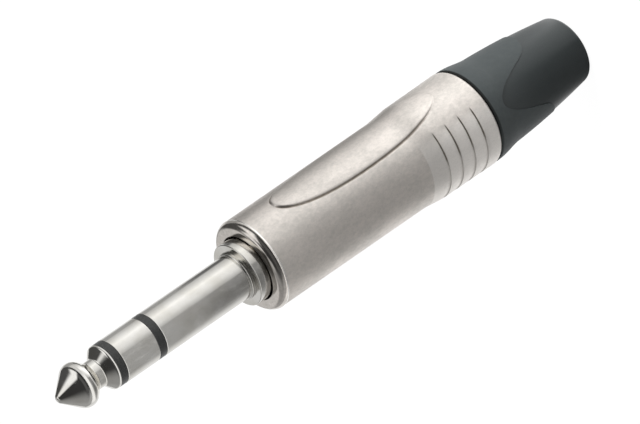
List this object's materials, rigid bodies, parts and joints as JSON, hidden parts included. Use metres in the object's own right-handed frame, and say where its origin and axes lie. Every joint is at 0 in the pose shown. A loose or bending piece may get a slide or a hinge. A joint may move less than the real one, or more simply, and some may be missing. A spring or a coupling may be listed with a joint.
{
  "type": "audio jack plug",
  "caption": "Audio plug for a standard jack: insulated tip, ring and sleeve, satin metal shell with ribbed grip, jaw chuck and screw-on bushing.",
  "frame": {"origin": "centre of the rear face of the gland, which the plug stands on", "axes": "+Z along the plug's axis from the cable end to the tip; -Y towards one raised oval, -X towards one set of grip ribs"},
  "size_m": [0.0142, 0.0144, 0.0906],
  "materials": {
    "satin_nickel": "satin nickel plate with a fine grain, on a die casting",
    "turned_nickel": "bright nickel plate on turned brass",
    "lug_plate": "dull tin plate on stamped brass",
    "insulator_black": "smooth dark plastic",
    "washer_brown": "matt laminate",
    "chuck_natural": "natural acetal",
    "bushing_charcoal": "fine matt texture",
    "gland_black": "smooth soft plastic"
  },
  "bodies": {
    "plug": {"shell": "satin_nickel", "sleeve_contact": "turned_nickel", "ring_insulator": "insulator_black", "ring_contact": "turned_nickel", "tip_insulator": "insulator_black", "tip_contact": "turned_nickel", "sleeve_lug": "lug_plate", "front_lug_washer": "washer_brown", "ring_lug": "lug_plate", "rear_lug_washer": "washer_brown", "tip_lug": "lug_plate"},
    "chuck_slider": {"chuck": "chuck_natural"},
    "screw_bushing": {"bushing": "bushing_charcoal", "gland": "gland_black"}
  },
  "joints": [
    {"name": "chuck_slide", "type": "slide", "parent": "plug", "child": "chuck_slider", "axis": [0, 0, -1], "range_m": [0, 0.005]},
    {"name": "bushing_turn", "type": "hinge", "parent": "chuck_slider", "child": "screw_bushing", "pos_m": [0, 0, 0.0225], "axis": [0, 0, -1], "range_deg": [0, 1800]}
  ],
  "couplings": [
    {"joint": "bushing_turn", "follows": "chuck_slide", "rad_per_m": 6283.2}
  ]
}
